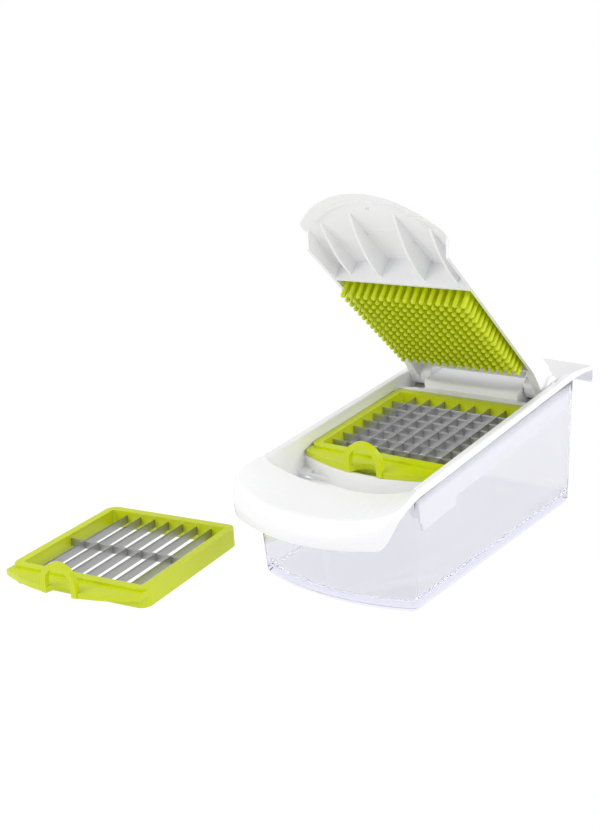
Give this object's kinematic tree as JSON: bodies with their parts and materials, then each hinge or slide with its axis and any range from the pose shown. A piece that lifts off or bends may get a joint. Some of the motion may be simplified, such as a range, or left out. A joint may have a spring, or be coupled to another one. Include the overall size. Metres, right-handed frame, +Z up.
{
  "type": "vegetable dicer",
  "caption": "Countertop vegetable dicer: a hinged lid with a pin pusher presses food through a blade grid into a clear container; a spare slicing insert lies beside it.",
  "frame": {"origin": "on the table, under the middle of the container's flat base", "axes": "+Z up; the apron end faces -Y and the hinge end +Y; +X to the right seen from the apron end"},
  "size_m": [0.2713, 0.3496, 0.2415],
  "materials": {
    "white_plastic": "glossy",
    "lime_plastic": "satin gloss",
    "clear_plastic": "clear, polished, faint violet edges",
    "blade_steel": "fine ground",
    "pin_steel": "plain"
  },
  "bodies": {
    "container": {"container": "clear_plastic"},
    "top": {"top_frame": "white_plastic", "hinge_pin_left": "pin_steel", "hinge_pin_right": "pin_steel"},
    "lid": {"lid": "white_plastic", "pusher_pad": "lime_plastic"},
    "dicing_insert": {"dicing_frame": "lime_plastic", "dicing_blade_long_1": "blade_steel", "dicing_blade_long_2": "blade_steel", "dicing_blade_long_3": "blade_steel", "dicing_blade_long_4": "blade_steel", "dicing_blade_long_5": "blade_steel", "dicing_blade_long_6": "blade_steel", "dicing_blade_long_7": "blade_steel", "dicing_blade_cross_1": "blade_steel", "dicing_blade_cross_2": "blade_steel", "dicing_blade_cross_3": "blade_steel", "dicing_blade_cross_4": "blade_steel", "dicing_blade_cross_5": "blade_steel", "dicing_blade_cross_6": "blade_steel", "dicing_blade_cross_7": "blade_steel"},
    "slicing_insert": {"slicing_frame": "lime_plastic", "slicing_blade_1": "blade_steel", "slicing_blade_2": "blade_steel", "slicing_blade_3": "blade_steel", "slicing_blade_4": "blade_steel", "slicing_blade_5": "blade_steel", "slicing_blade_6": "blade_steel", "slicing_blade_7": "blade_steel", "slicing_cross_blade": "blade_steel"}
  },
  "joints": [
    {"name": "top_lift", "type": "slide", "parent": "container", "child": "top", "axis": [0, 0, 1], "range_m": [0, 0.12]},
    {"name": "lid_hinge", "type": "hinge", "parent": "top", "child": "lid", "pos_m": [0, 0.08225, 0.08989], "axis": [-1, 0, 0], "range_deg": [-46.8, 48]},
    {"name": "dicing_insert_slide", "type": "slide", "parent": "top", "child": "dicing_insert", "axis": [0, -0.729, 0.6845], "range_m": [0, 0.2]},
    {"name": "slicing_insert_lift", "type": "slide", "parent": "container", "child": "slicing_insert", "axis": [0, 0, 1], "range_m": [0, 0.15]}
  ]
}
